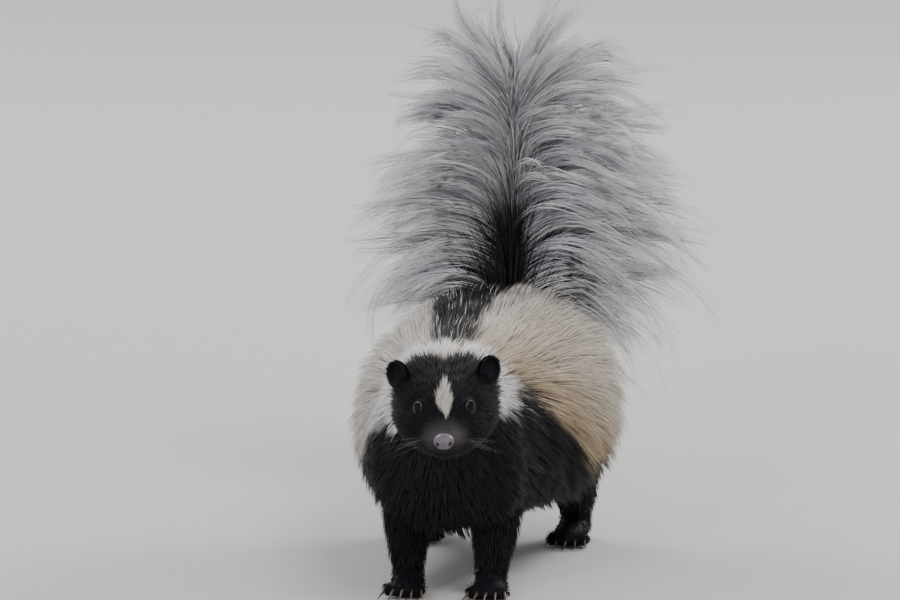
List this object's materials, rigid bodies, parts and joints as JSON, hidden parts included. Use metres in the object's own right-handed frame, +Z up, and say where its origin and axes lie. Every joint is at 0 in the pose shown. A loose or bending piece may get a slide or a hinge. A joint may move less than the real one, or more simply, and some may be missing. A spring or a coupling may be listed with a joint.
{
  "type": "striped skunk",
  "caption": "Life-size striped skunk, standing still on its four feet, head turned a little to its left, with its long-haired tail raised and fanned.",
  "frame": {"origin": "on the floor, under the middle of the animal's bounding box", "axes": "+Z up; the animal faces -Y; +X is its own left side"},
  "size_m": [0.263, 0.5156, 0.3754],
  "materials": {
    "body_fur": "black fur with two broad cream-white stripes, soft and slightly shiny",
    "tail_hair": "long silver-white hair with black roots",
    "nose_skin": "moist bare skin, pinkish grey-brown",
    "eye": "wet, nearly black, with a sharp highlight",
    "claw_horn": "dark horn, paler at the tips"
  },
  "bodies": {
    "root": {"torso": "body_fur", "neck": "body_fur", "head": "body_fur", "nose": "nose_skin", "tail": "tail_hair", "eye_left": "eye", "eye_right": "eye", "ear_left": "body_fur", "ear_right": "body_fur", "foreleg_left": "body_fur", "foreleg_right": "body_fur", "hindleg_left": "body_fur", "hindleg_right": "body_fur", "forepaw_left": "body_fur", "forepaw_right": "body_fur", "hindpaw_left": "body_fur", "hindpaw_right": "body_fur"}
  },
  "joints": []
}
